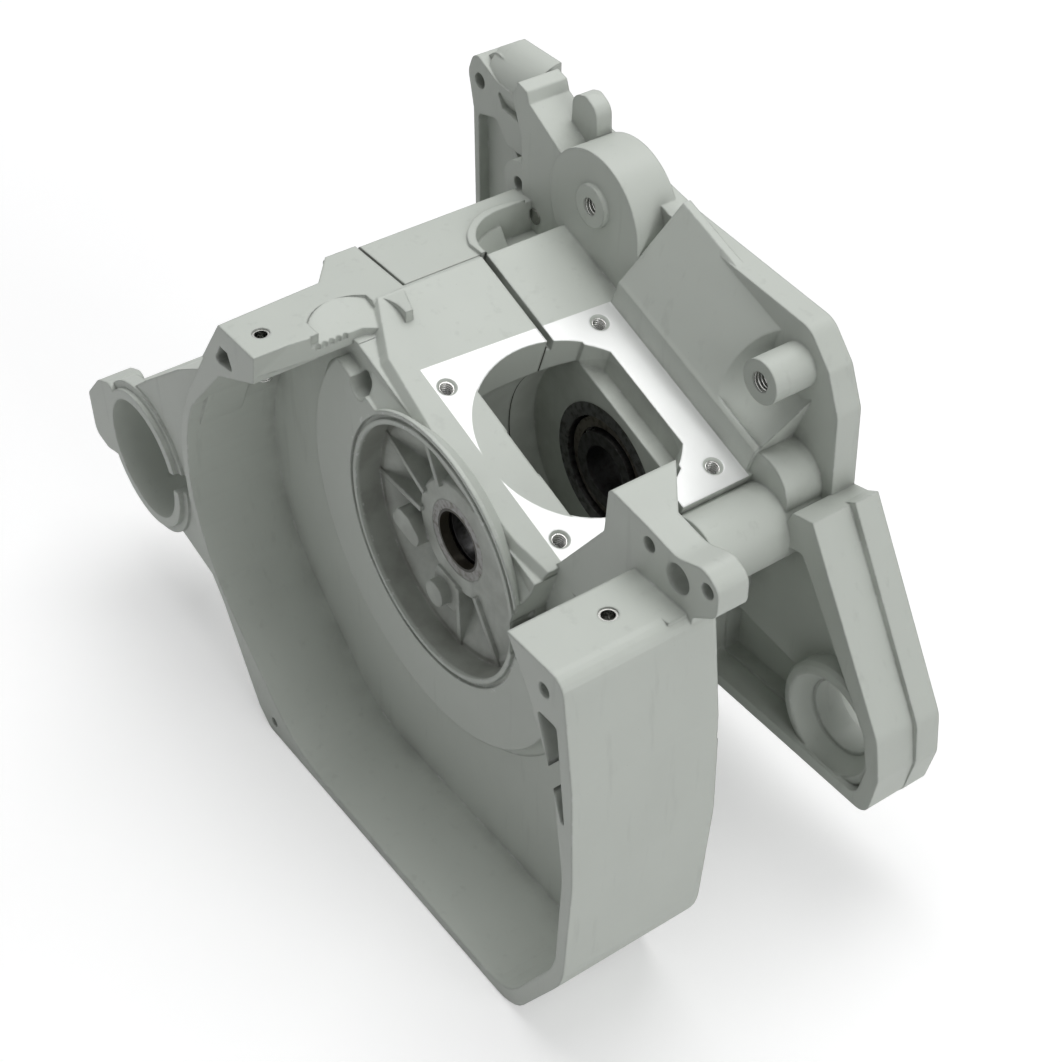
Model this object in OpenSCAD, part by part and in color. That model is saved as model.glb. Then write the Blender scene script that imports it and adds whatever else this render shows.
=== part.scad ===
// Two-piece die-cast crankcase of a chainsaw with its crankshaft bearings and seals.
// The crank axis is Y and the clutch side is +Y. Z is up and +X is the saw's front.
// The origin is on the crank axis, under the middle of the four cylinder studs.

/* [Cylinder deck] */
// Angle by which the cylinder deck leans to the front
deck_tilt = 19.6; // [16:0.1:23]
// Height of the cylinder deck above the crank axis
deck_height = 40; // [39:0.5:44]
// Distance of the cylinder holes along the deck's slope
stud_pitch_x = 65; // [62:0.5:67]
// Distance of the cylinder holes along the crank axis
stud_pitch_y = 61.7; // [60:0.1:63]
// Diameter of the four tapped cylinder holes
stud_hole_d = 5; // [4.2:0.1:6]
// Depth of the four tapped cylinder holes
stud_hole_depth = 16; // [10:1:18]
// Diameter of the round recess for the foot of the cylinder
spigot_d = 70; // [66:0.5:72]
// Depth of that recess above the crank chamber
spigot_depth = 10; // [6:0.5:12]

/* [Crank chamber] */
// Diameter of the crank chamber
chamber_d = 82; // [78:0.5:84]
// Wall of the round crankcase barrel
barrel_wall = 6; // [5:0.5:8]
// Place of the joint between the halves on the crank axis
joint_y = 9.8; // [8:0.1:11]
// Distance from the joint back to the fan side wall of the chamber
chamber_fan_depth = 33; // [31:0.5:35]
// Distance from the joint to the clutch side wall of the chamber
chamber_clutch_depth = 11.2; // [10:0.1:13]
// Thickness of the crankcase gasket
gasket_t = 0.5; // [0.4:0.1:1]
// Width of the open groove between the halves beside the gasket
joint_relief = 1.7; // [1:0.1:2.5]

/* [Crankshaft bore] */
// Diameter of the crankshaft journals in both bearings and both oil seals
journal_d = 20; // [17:1:20]

/* [Fan side bearing and seal] */
// Outer diameter of the fan side bearing
fan_bearing_od = 42; // [40:1:42]
// Width of the fan side bearing
fan_bearing_width = 12; // [11:0.5:13]
// Outer diameter of the fan side oil seal
fan_seal_od = 29.4; // [28:0.2:32]
// Width of the fan side oil seal
fan_seal_width = 4.6; // [4:0.1:6]

/* [Clutch side bearing and seal] */
// Outer diameter of the clutch side bearing
clutch_bearing_od = 52; // [50:1:52]
// Width of the clutch side bearing
clutch_bearing_width = 15; // [14:0.5:16]
// Outer diameter of the clutch side oil seal
clutch_seal_od = 32; // [30:0.5:35]
// Width of the clutch side oil seal
clutch_seal_width = 6; // [5:0.5:7]

/* [Bearing details] */
// Number of balls in the fan side bearing
fan_balls = 9; // [7:1:9]
// Number of balls in the clutch side bearing
clutch_balls = 7; // [6:1:7]
// Play between the balls and their races
race_play = 0.05; // [0.03:0.01:0.08]
// Play between the balls and the cage pockets
pocket_play = 0.2; // [0.1:0.05:0.3]
// Play between a seal lip and its journal
lip_play = 0.03; // [0.01:0.01:0.08]
// Play between a pressed outer ring or seal and its seat
seat_play = 0.01; // [0:0.005:0.02]

/* [Fan housing] */
// Place of the open rim of the fan housing on the crank axis
rim_y = -82; // [-86:1:-78]
// Place of the fan housing floor
floor_y = -46; // [-48:1:-44]
// Thickness of the fan housing floor
floor_t = 4.5; // [3:0.5:6]
// Wall of the fan housing
housing_wall = 4; // [3:0.5:5]
// Height of the flat foot of the saw below the crank axis
base_drop = 122; // [118:1:126]
// Height of the flat roof above the crank axis
roof_height = 62; // [60:0.5:62.5]
// Height of the front block above the crank axis
block_height = 50; // [48:0.5:52]
// Diameter of the raised round land around the magneto pocket
land_d = 142; // [138:1:144]
// Outer diameter of the bright lip of the magneto pocket
pocket_lip_d = 94; // [92:0.5:96]
// Diameter of the hub that carries the fan side seal
hub_d = 44; // [42:0.5:48]
// Diameter of the two cover screw inserts in roof and block
insert_d = 6; // [5:0.5:7]

/* [Mount tube] */
// Inner diameter of the rear buffer tube
tube_bore = 49; // [46:0.5:50]
// Wall of the rear buffer tube
tube_wall = 4; // [3:0.5:5]
// Length of the rear buffer tube
tube_len = 42; // [36:1:46]

/* [Clutch side] */
// Place of the bulkhead on the crank axis
bulkhead_y = 56; // [54:0.5:58]
// Thickness of the bulkhead
bulkhead_t = 4; // [3:0.5:4.5]
// Place of the outer rim of the clutch side
clutch_rim_y = 66; // [62:1:68]
// Wall of the clutch side rim
clutch_wall = 5; // [4:0.5:6]
// Bore of the front buffer eye
eye_bore = 27; // [24:0.5:30]

/* [Fasteners] */
// Diameter of the crankcase screws
screw_d = 5; // [4:0.5:6]
// Length of the crankcase screws under the head
screw_len = 34; // [28:1:36]
// Diameter of the two locating dowels
dowel_d = 6; // [5:0.5:7]
// Length of the two locating dowels
dowel_len = 12; // [10:1:14]

/* [Hidden] */
$fn = 64;
eps = 0.01;

paint = [0.70, 0.73, 0.71];
steel = [0.62, 0.63, 0.65];
dark_steel = [0.35, 0.35, 0.37];
rubber = [0.16, 0.13, 0.11];

// Main places on the crank axis
clutch_face_y = joint_y + gasket_t;
fan_wall_y = joint_y - chamber_fan_depth;
clutch_wall_y = joint_y + chamber_clutch_depth;
fan_bearing_y = fan_wall_y - fan_bearing_width;
hub_y = fan_bearing_y - fan_seal_width - 0.3;
clutch_bearing_end = clutch_wall_y + clutch_bearing_width;
clutch_seal_y = clutch_bearing_end + 1;
bulkhead_back = bulkhead_y + bulkhead_t;
land_y = floor_y - 5;
chamber_r = chamber_d / 2;
barrel_r = chamber_r + barrel_wall;
spigot_r = spigot_d / 2;

// Unit vector, and the arc that rounds the corner b between a and c
function unit(v) = v / norm(v);
function flat(p) = [p[0], p[1]];
function corner(a, b, c, r, n) =
    let (u = unit(a - b), v = unit(c - b), half = acos(u * v) / 2,
        mid = b + unit(u + v) * r / sin(half), s = b + u * r / tan(half) - mid,
        e = b + v * r / tan(half) - mid, a0 = atan2(s[1], s[0]),
        turn = atan2(s[0] * e[1] - s[1] * e[0], s * e))
    [for (i = [0:n]) mid + r * [cos(a0 + turn * i / n), sin(a0 + turn * i / n)]];

// Outline whose third numbers are the radii of its corners
function rounded(p, n = 5) =
    [for (i = [0:len(p) - 1])
        let (q = p[i], a = flat(p[(i + len(p) - 1) % len(p)]), c = flat(p[(i + 1) % len(p)]))
        each (q[2] > 0 ? corner(a, flat(q), c, q[2], n) : [flat(q)])];

// Extrusion along the crank axis of an outline in X and Z
module along_y(y0, y1) {
    translate([0, y1, 0]) rotate([90, 0, 0]) linear_extrude(y1 - y0) children();
}

// Cylinder along the crank axis
module rod(x, z, r, y0, y1) {
    translate([x, y0, z]) rotate([-90, 0, 0]) cylinder(r = r, h = y1 - y0);
}

// Revolve of an outline of radius and place on the crank axis
module turned(p) {
    rotate([-90, 0, 0]) rotate_extrude() polygon(p);
}

module on_deck() {
    rotate([0, deck_tilt, 0]) children();
}

module at_polar(r, a) {
    translate([r * cos(a), 0, r * sin(a)]) rotate([0, -a, 0]) children();
}

// Places of the crankcase screws and dowels around the crank axis
screw_r = chamber_r + barrel_wall + 3.5;
screw_angles = [166, 214, 268, 322, 8];
dowel_angles = [190, 345];
screw_seat_y = clutch_face_y + 14;
boss_r = 7;

// The crankcase section that both halves share: barrel, neck, deck and screw bosses
deck_rear = -73.5;
deck_front = 41;
neck = [[deck_rear, deck_height], [deck_rear, deck_height - 12], [-56, 22], [-50, 0], [-30, -32],
    [30, -32],
    [46, -6], [deck_front, 18], [deck_front, deck_height]];

module crankcase_section(y0, y1) {
    difference() {
        union() {
            rod(0, 0, barrel_r, y0, y1);
            on_deck() along_y(y0 - 1, y1 + 1) polygon(neck);
            for (a = concat(screw_angles, dowel_angles))
                at_polar(screw_r, a) rod(0, 0, boss_r, y0 - 0.5, y1 + 0.5);
        }
        on_deck() translate([-80, y0 - 2, deck_height]) cube([160, y1 - y0 + 4, 40]);
    }
}

// Everything on one side of a plane across the crank axis
module beyond(y, side) {
    translate([-250, side > 0 ? y : y - 100, -200]) cube([500, 100, 400]);
}

// The opening through which the cylinder's foot enters the chamber
slot_clutch_y = 27;
wall_step = 0.4;
slot_deep_y = clutch_wall_y - wall_step;

module deck_opening() {
    on_deck() {
        intersection() {
            cylinder(d = spigot_d, h = deck_height + 1);
            translate([-spigot_d, fan_wall_y + wall_step, 0])
                cube([2 * spigot_d, slot_deep_y - fan_wall_y - wall_step, deck_height + 1]);
        }
        intersection() {
            translate([0, 0, deck_height - spigot_depth]) cylinder(d = spigot_d - 2, h = spigot_depth + 1);
            translate([-30, slot_deep_y - eps, 0])
                cube([60, slot_clutch_y - slot_deep_y, deck_height + 1]);
        }
    }
}

module deck_holes(sides) {
    on_deck() for (sx = [-1, 1], sy = sides)
        translate([sx * stud_pitch_x / 2, sy * stud_pitch_y / 2, 0]) {
            translate([0, 0, deck_height - stud_hole_depth]) cylinder(d = stud_hole_d,
                h = stud_hole_depth + 1);
            translate([0, 0, deck_height - 1]) cylinder(d1 = stud_hole_d, d2 = stud_hole_d + 3, h = 1.5);
        }
}

module screw_holes(d, y0, y1) {
    for (a = screw_angles) at_polar(screw_r, a) rod(0, 0, d / 2, y0, y1);
}

module dowel_holes(y0, y1) {
    for (a = dowel_angles) at_polar(screw_r, a) rod(0, 0, dowel_d / 2 + seat_play, y0, y1);
}

// Fan housing outline in X and Z: roof corner, scroll, foot, front wall and block
block_x = 88;
front_x = 119;
scroll = [for (a = [148:8:222]) [-36 + 80 * cos(a), -26 + 80 * sin(a)]];
heel_r = 45;
heel_in = [for (a = [-90:-5.5:-134])
    [-31.8 + heel_r * cos(a), -base_drop + housing_wall + heel_r * (1 + sin(a))]];
scroll_in = [for (a = [222:-8:148]) [-36 + (80 - housing_wall) * cos(a),
    -26 + (80 - housing_wall) * sin(a)]];

housing_outer = concat([[-66, roof_height - 6], [-73, roof_height]], scroll,
    rounded([[-77, -base_drop + 6, 0], [-70, -base_drop, 5], [-54, -base_drop, 0], [90, -base_drop, 18],
        [front_x - 3, -80, 30], [front_x + 1, -30, 60], [front_x, 10, 0], [front_x - 5, block_height, 6],
        [block_x, block_height, 0]]));

housing_inner = concat(
    rounded([[block_x - 12, block_height + 20, 0], [block_x, block_height, 0], [99, 32, 20], [110, 8, 40],
        [115, -30, 40], [112, -75, 30], [86, -base_drop + housing_wall, 20],
        [-31, -base_drop + housing_wall, 0]]),
    heel_in, scroll_in, [[-81, 35], [-62, roof_height - 6.5], [-62, roof_height + 20]]);

// Back wall of the housing with the bracket that stands beside the deck
bracket_y = -37;
bracket_back = -26;
bracket = [[44, 18, 0], [52, 26, 0], [73.5, 54, 3], [75, 71, 2], [92, 69, 8], [106, 66.5, 10],
    [117, 70.5, 6], [124, 67, 5], [124, block_height + 7, 5], [114, block_height, 3], [112, 20, 0]];
bracket_holes = [[94, 63, 2.6], [107, 59.5, 5], [119.5, 64, 2.6]];

// Rear tank box under the roof
tank_rear = -87;
tank_split_x = -57.5;
slit = 1;
crease_gap = 0.35;
slit_y = -20;
tank_outline = [[tank_rear, roof_height, 2], [tank_rear, 10, 12], [-66, -22, 12], [-40, -20, 0],
    [-40, 44, 0],
    [-56, roof_height, 0]];
tank_void = [[tank_rear + 4, roof_height - 6, 3], [tank_rear + 4, 12, 10], [-64, -16, 10],
    [-50, -12, 3], [-50, 44, 2], [-58, roof_height - 6, 2]];

pocket_r = pocket_lip_d / 2 - 1.8;
hub_r = hub_d / 2;
ring_ribs = [152, 178, 115, 272, 303];

module magneto_pocket() {
    turned([[0, land_y - 1], [pocket_r, land_y - 1], [pocket_r, -41], [43, -41], [24, -31.5], [0, -31.5]]);
}

module fan_hub() {
    turned([[0, hub_y], [hub_r - 0.6, hub_y], [hub_r, hub_y + 0.6], [hub_r + 3, -32],
        [hub_r + 3, fan_wall_y - 2], [0, fan_wall_y - 2]]);
    along_y(hub_y, -30) polygon(concat([[0, 0]], [for (a = [-58:12:62]) 46.5 * [cos(a), sin(a)]]));
    for (a = ring_ribs) at_polar(0, a) translate([hub_r - 2, -41.5, -1.1]) cube([25, 12, 2.2]);
    along_y(-44, -30) polygon(rounded([[-36, -12, 3], [-30, -4, 3], [-24, -5, 3], [-17, -10, 3],
        [-20, -16, 3]]));
    rod(-8, -27, 5, -45, -30);
    along_y(-41, -30) polygon(rounded([[-15, -33, 2], [-1, -33, 2], [2, -20, 2], [-12, -18, 2]]));
}

module housing_shell() {
    difference() {
        union() {
            along_y(rim_y, -28) polygon(housing_outer);
            along_y(floor_y, floor_y + floor_t)
                polygon([[-60, 55], [-46, 55], [60, 18], [block_x, 20], [block_x, -20], [-60, -20]]);
        }
        along_y(rim_y - 1, floor_y) polygon(housing_inner);
        along_y(floor_y - 1, -27)
            polygon([[-43, roof_height + 5], [-46, 55], [60, 18], [block_x, 20],
                [block_x, roof_height + 5]]);
        along_y(floor_y + floor_t, -27)
            polygon(rounded([[50, -20, 5], [110, -20, 10], [111, -72, 26], [84, -base_drop + 6, 18],
                [-60, -base_drop + 6, 10], [-96, -70, 20], [-104, -20, 10], [-92, 0, 4], [-50, -30, 4],
                    [0, -60, 30]]));
        along_y(rim_y - 1, rim_y + 26)
            polygon(rounded([[102, 31, 1.5], [111.5, 31, 1.5], [115.6, -6, 0.4], [113.8, -6, 0.4]]));
        rod(105.5, 41, 2.5, rim_y - 1, rim_y + 18);
        rod(-66, -116, 2, rim_y - 1, rim_y + 14);
        along_y(rim_y - 1, rim_y + 22)
            polygon(rounded([[-79, 45, 1.5], [-70.5, 58, 1.5], [-66, 47, 1.5]]));
    }
    along_y(rim_y, rim_y + 24) difference() {
        polygon([[-80, 38], [-88, 41], [-73, roof_height], [-50, roof_height], [-52, 51]]);
        polygon(rounded([[-79, 45, 1.5], [-70.5, 58, 1.5], [-66, 47, 1.5]]));
    }
}

module roof() {
    difference() {
        translate([0, 0, roof_height - 8.5]) linear_extrude(8.5)
            polygon([[-73, rim_y], [-51.6, rim_y], [-49.2, -62], [-49.2, -42], [-43.6, -31], [-43.6, -26],
                [-58, slit_y - slit], [tank_rear, slit_y - slit], [tank_rear, -33], [-75, -43]]);
        translate([-64, -45, roof_height]) rotate([0, 15, 0]) translate([16.5, 0, 0])
            cylinder(r = 16.5, h = 14);
        for (i = [0:4]) translate([-49.2, -59 + 2.6 * i, roof_height - 5.5]) cylinder(r = 0.9, h = 10,
            $fn = 16);
    }
}

module rear_tank() {
    difference() {
        along_y(-34, joint_y + 1) polygon(rounded(tank_outline));
        along_y(-30, joint_y + 2) polygon(rounded(tank_void));
        clutch_tank_room();
    }
}

// Room on the fan side for the tank half of the clutch side
module clutch_tank_room() {
    translate([tank_rear - 1, slit_y - slit, -30]) cube([tank_split_x + crease_gap - tank_rear + 1, 40,
        100]);
}

// Rear buffer tube with its split collar, seen at the far left of the housing
tube_x = -158;
tube_z = -49;
tube_y = -80;

module buffer_tube() {
    r = tube_bore / 2;
    difference() {
        union() {
            rod(tube_x, tube_z, r + tube_wall, tube_y, tube_y + tube_len);
            rod(tube_x, tube_z, r + tube_wall + 3, tube_y + 2, tube_y + 8);
            along_y(tube_y + 3, tube_y + 20)
                polygon(rounded([[-172, -26, 0], [-150, -8, 0], [-121, 14, 6], [-98, 28, 0], [-96, 20, 0],
                    [-112, -10, 0], [-116, -60, 0], [-112, -80, 0], [-140, -72, 0], [-160, -50, 0]]));
            along_y(tube_y + 6, tube_y + tube_len)
                polygon([[-140, -30], [-112, -20], [-112, -66], [-140, -64]]);
            along_y(tube_y, tube_y + 14)
                polygon(rounded([[-180, -26, 4], [-191, -31, 4], [-203, -44, 4], [-202, -63, 5],
                    [-192, -65, 4], [-181, -62, 3], [-172, -40, 0]]));
        }
        rod(tube_x, tube_z, r, tube_y - 1, tube_y + tube_len - 5);
        rod(tube_x, tube_z, r - 8, tube_y - 1, tube_y + tube_len + 1);
        along_y(tube_y - 1, tube_y + 12)
            polygon(rounded([[-140, -42, 0], [-125, -38, 3.4], [-124, -46, 3.4], [-140, -50, 0]]));
    }
}

// Mounting bracket in front of the deck, thicker towards the opening
module front_bracket() {
    intersection() {
        along_y(bracket_y, -12.5) polygon(rounded(bracket));
        linear_extrude(90) polygon([[40, bracket_y - 1], [130, bracket_y - 1], [130, bracket_back],
            [93, bracket_back], [75, -12.5], [40, -12.5]]);
    }
}

// Places of the two cover screw inserts, seen from above
roof_insert = [-61, -73];
block_insert = [99, -55];

module insert_hole(place, z) {
    translate([place[0], place[1], z - 18]) cylinder(d = insert_d + 2 * seat_play, h = 20);
}

// Fan side edge of the deck: a point and the turn of each straight piece
deck_edges = [[-52, -41.4, -23.6], [-35, -43.4, -5.2], [5, -44.4, 1.2], [30, -43.2, 10.8]];
collar_r = 50;

module deck_edge_cut(i) {
    e = deck_edges[i];
    on_deck() translate([e[0], e[1], deck_height]) rotate([0, 0, e[2]]) translate([-60 - i, 0, 0])
        rotate([90, 0, 90]) linear_extrude(120 + 2 * i)
            polygon([[0, 0], [-7, -12], [-16 - i, -12 - 0.6 * i], [-16 - i, 50 + 2 * i], [0, 50 + 2 * i]]);
}

// Fan side of the deck and barrel with the raised land around the magneto pocket
module fan_deck() {
    difference() {
        union() {
            crankcase_section(-44.5, joint_y + 1.5);
            rod(0, 0, land_d / 2, land_y, floor_y + 1);
        }
        beyond(joint_y, 1);
        clutch_tank_room();
        deck_edge_cut(0);
        deck_edge_cut(1);
        deck_edge_cut(2);
        deck_edge_cut(3);
    }
    turned([[0, land_y], [collar_r, land_y], [collar_r, land_y + 1.5], [44, -44], [0, -44]]);
    difference() {
        rear_tank();
        beyond(joint_y, 1);
    }
}

module fan_half() {
    color(paint) difference() {
        union() {
            housing_shell();
            roof();
            fan_deck();
            front_bracket();
            along_y(-44, bracket_y + 1)
                polygon([[block_x, 30], [block_x, block_height], [112, block_height], [112, 30]]);
            buffer_tube();
        }
        magneto_pocket_cut();
        rod(0, 0, chamber_r, fan_wall_y, joint_y + 1);
        rod(0, 0, fan_bearing_od / 2 + seat_play, fan_bearing_y, fan_wall_y + 1);
        rod(0, 0, fan_seal_od / 2 + seat_play, hub_y - 1, fan_bearing_y + 1);
        deck_opening();
        deck_holes([-1]);
        screw_holes(screw_d - 0.2, joint_y - 22, joint_y + 1);
        dowel_holes(joint_y - dowel_len / 2, joint_y + 1);
        for (h = bracket_holes) rod(h[0], h[1], h[2], bracket_y - 1, bracket_back + 1);
        translate([84, -28.4, 0]) cube([60, 30, block_height]);
        insert_hole(roof_insert, roof_height);
        insert_hole(block_insert, block_height);
        rod(-40, 43, 4.5, land_y - 1, floor_y + floor_t + 1);
        along_y(floor_y - 8, bracket_y)
            polygon([[45.2, -10], [45.2, 3.4], [52.6, 24.2], [52.6, 60], [block_x, 80], [block_x, -10]]);
    }
}

// Pocket with its lip, groove, hub and ribs, taken out of the back wall
module magneto_pocket_cut() {
    difference() {
        magneto_pocket();
        fan_hub();
        on_deck() translate([-60, land_y + 3.5, deck_height - 2.5]) cube([120, 24, 20]);
    }
    difference() {
        rod(0, 0, pocket_lip_d / 2 + 1.6, land_y - 1, land_y + 1.2);
        rod(0, 0, pocket_lip_d / 2, land_y - 2, land_y + 2);
    }
}

// Clutch side outlines in X and Z
plate_top = 80;
clutch_outer = [[-121, 36, 0], [-124, 92, 7], [-112, 101, 6], [-84, 93, 0], [-60, 92, 0], [-17, 84, 0],
    [-14, 83, 0], [56, 77, 9], [66, 66, 6], [72, 52, 8], [73.5, 20, 0], [84, 26, 0], [124, -42, 12],
        [126, -58, 8],
    [122, -77, 6], [12, -77, 0], [10, -base_drop, 8], [-84, -base_drop, 14], [-108, -80, 20],
        [-118, -20, 20]];
clutch_inner = [[-116, 34, 0], [-112, 84, 6], [-84, 86, 0], [-20, 78, 4], [52, 72, 8], [66, 52, 6],
    [68, 4, 10],
    [40, -20, 20], [30, -72, 8], [5, -72, 4], [5, -base_drop + 5, 5], [-82, -base_drop + 5, 10],
        [-103, -78, 16],
    [-113, -20, 16]];

// Front buffer pocket: outline of its walls and of its hollow
loop_y = 40;
loop_outer = [[73, 22, 0], [82, 24, 0], [122, -42, 12], [125, -58, 8], [122, -77, 6], [30, -77, 0],
    [30, -40, 0], [60, -6, 0]];
loop_inner = [[74, 8, 2], [79, 9, 2], [116, -44, 10], [119, -58, 6], [116, -72, 5], [36, -72, 2],
    [36, -44, 2], [60, -8, 2]];
eye_x = 98;
eye_z = -55;
eye_r = 23;

module buffer_eye() {
    translate([eye_x, 0, eye_z])
        turned([[0, 42], [eye_r - 3, 42], [eye_r - 1, 42.5], [eye_r, 44], [eye_r, 60], [0, 60]]);
}

module eye_cut() {
    translate([eye_x, 0, eye_z]) {
        turned([[0, 41], [eye_r - 4, 41], [eye_r - 4, 42.5], [eye_bore / 2 + 1, 48],
            [eye_bore / 2 + 1, 49], [0, 49]]);
        rod(0, 0, eye_bore / 2, 48, clutch_rim_y + 1);
        rod(0, 0, eye_bore / 2 + 4, 60, clutch_rim_y + 1);
    }
}

module front_pocket() {
    difference() {
        along_y(loop_y, clutch_rim_y) polygon(rounded(loop_outer));
        along_y(loop_y - 1, 50) polygon(rounded(loop_inner));
        along_y(49, 60) polygon([[37, -46], [74, -52], [76, -71], [37, -71]]);
    }
    difference() {
        buffer_eye();
        translate([0, 0, -77 - 50]) cube([200, 70, 50]);
    }
}

// Upright wall over the deck that leans back to the bulkhead
module deck_backing() {
    difference() {
        on_deck() translate([-38, 0, 0]) rotate([90, 0, 90]) linear_extrude(77)
            polygon([[39.6, 15], [39.6, deck_height + 10.5], [40.6, deck_height + 12],
                [bulkhead_y + 1, deck_height + 42], [bulkhead_y + 4, deck_height + 42],
                    [bulkhead_y + 4, 15]]);
        rod(53, 62, 8, 30, bulkhead_y);
        translate([53, 41, 62]) rotate([-90, 0, 0]) cylinder(r1 = 27, r2 = 12, h = bulkhead_y - 41);
    }
    rod(53, 62, 7.8, 39.5, bulkhead_y + 1);
}

arch_x = -40;
arch_z = 73;
arch_r = 24.3;
guard_face_y = 45;
arch_boss = [-39, 78.5];
guard_pin_at = [-73.5, 56.5];

module guard_housing() {
    rod(arch_x, arch_z, arch_r, guard_face_y - 0.5, 62.5);
    translate([arch_x, guard_face_y - 0.5, 40]) cube([arch_r, 18, arch_z - 40]);
    along_y(guard_face_y, 62) polygon(rounded([[-81.5, 44, 0], [-81.5, 84, 0], [-87, 98, 2],
        [-84, 104.5, 1],
        [-78.5, 103, 1], [-77, 99, 0], [-54, 86, 0], [arch_x, 80, 0], [arch_x, 44, 0]]));
    along_y(56, 62.5) polygon(rounded([[-68, 84, 0], [-67, 104, 5], [-60, 106, 3], [-54, 103, 5],
        [-53, 84, 0]]));
    rod(-85, 64, 8.5, guard_face_y + 1, 54);
    rod(arch_boss[0], arch_boss[1], 7.8, 42.3, guard_face_y);
}

module rear_bracket() {
    difference() {
        along_y(52, clutch_rim_y) polygon(rounded([[-121, 30, 0], [-121, 76, 3], [-124, 90, 6],
            [-120, 99, 4],
            [-106, 92.5, 0], [-84, 91, 0], [-80, 60, 0], [-80, 30, 0]]));
        along_y(51, 61.5) polygon(rounded([[-118, 28, 0], [-118, 75, 2], [-107, 78, 3], [-100, 70, 3],
            [-79, 70, 0], [-79, 28, 0]]));
        along_y(51, 58) polygon(rounded([[-106, 89.5, 1], [-90, 87.5, 1], [-90, 82, 1], [-103, 83.5, 1]]));
        rod(-116.8, 88.5, 3, 51, 62);
    }
    intersection() {
        translate([-113, 66, 90.5]) rotate([0, 90, 0]) cylinder(r = 13.5, h = 26);
        along_y(52.5, clutch_rim_y) polygon(rounded([[-121, 80, 0], [-119, 98, 4], [-108, 104.5, 8],
            [-87, 106, 2], [-87, 80, 0]]));
    }
    translate([-106, 54, 75]) rotate([0, 52, 0]) cube([34, 9, 2.2]);
}

// Half of the rear tank on the clutch side, with the rounded trough beside the deck
trough_x = -56.5;
trough_y = 31;
trough_r = 19;

module clutch_tank() {
    difference() {
        union() {
            along_y(slit_y, 50) polygon(rounded([[tank_rear, roof_height, 2], [tank_rear, 10, 12],
                [-74, -10, 6],
                [tank_split_x, -4, 0], [tank_split_x, roof_height, 0]]));
            difference() {
                union() {
                    along_y(clutch_face_y - 2.5, 47)
                        polygon([[-74, -10], [-40, -10], [-40, 38], [-58, 50], [-74, 50]]);
                    translate([trough_x, trough_y, 40])
                        cylinder(r = trough_r + 3, h = roof_height - 40 + 1.2);
                }
                beyond(clutch_face_y, -1);
            }
        }
        translate([trough_x, trough_y, 50]) cylinder(r1 = trough_r - 6, r2 = trough_r, h = 8);
        translate([trough_x, trough_y, 57]) cylinder(r = trough_r, h = 20);
        translate([trough_x - trough_r, trough_y, 50]) cube([trough_r, 20, 30]);
        on_deck() translate([deck_rear, clutch_face_y - 8, deck_height]) cube([30, 60, 30]);
        along_y(slit_y + 4, 40) polygon(rounded([[tank_rear + 4, roof_height - 6, 2],
            [tank_rear + 4, -20, 0],
            [tank_split_x - 4, -20, 0], [tank_split_x - 4, 46, 2], [-79, 46, 2],
                [-79, roof_height - 6, 2]]));
    }
}

module clutch_half() {
    color(paint) difference() {
        union() {
            difference() {
                union() {
                    crankcase_section(clutch_face_y - 2, bulkhead_y + 1.5);
                    rod(59, 9, 14, clutch_face_y - 1.5, bulkhead_y + 1);
                }
                beyond(clutch_face_y, -1);
            }
            along_y(bulkhead_y, bulkhead_back) polygon(rounded(clutch_outer));
            difference() {
                along_y(bulkhead_back - 1, clutch_rim_y) polygon(rounded(clutch_outer));
                along_y(bulkhead_back, clutch_rim_y + 1) polygon(rounded(clutch_inner));
            }
            along_y(14, bulkhead_y + 1) polygon(rounded([[8, -36, 0], [10, -base_drop, 8],
                [-84, -base_drop, 14],
                [-104, -80, 20], [-90, -40, 10], [-34, -26, 0]]));
            rod(0, 0, clutch_seal_od / 2 + 6, bulkhead_y, bulkhead_back + 4);
            rod(56, 21, 13, 41, bulkhead_y + 0.5);
            deck_backing();
            front_pocket();
            guard_housing();
            rear_bracket();
            clutch_tank();
        }
        along_y(20, clutch_rim_y + 1) polygon(rounded([[2, -48, 4], [4, -base_drop + 6, 4],
            [-80, -base_drop + 6, 10],
            [-98, -78, 14], [-86, -46, 8], [-40, -40, 4]]));
        rod(0, 0, chamber_r, clutch_face_y - 1, clutch_wall_y);
        rod(0, 0, clutch_bearing_od / 2 + seat_play, clutch_wall_y - 1, clutch_bearing_end);
        rod(0, 0, clutch_seal_od / 2 + seat_play, clutch_seal_y, bulkhead_back + 5);
        rod(0, 0, clutch_bearing_od / 2 - 6, clutch_wall_y, clutch_seal_y + 1);
        deck_opening();
        deck_holes([1]);
        screw_holes(screw_d + 0.5, clutch_face_y - 1, screw_seat_y + 1);
        screw_holes(screw_d * 2 + 1, screw_seat_y, bulkhead_back + 20);
        dowel_holes(clutch_face_y - 1, clutch_face_y + dowel_len / 2 + 0.5);
        joint_groove();
        eye_cut();
        rod(53, 62, 3.6, 39, bulkhead_back + 1);
        rod(arch_boss[0], arch_boss[1], 3.2, 42, 60);
        rod(-85, 64, 2.6, 45, 51);
        rod(guard_pin_at[0], guard_pin_at[1], 3 + seat_play, guard_face_y - 1, guard_face_y + 8);
    }
}

// The halves stand apart beside the gasket where the deck meets the outside
module joint_groove() {
    on_deck() {
        translate([deck_rear - 1, clutch_face_y - 1, deck_height - 5])
            cube([deck_front - deck_rear + 2, joint_relief + 1, 6]);
    }
}

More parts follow.
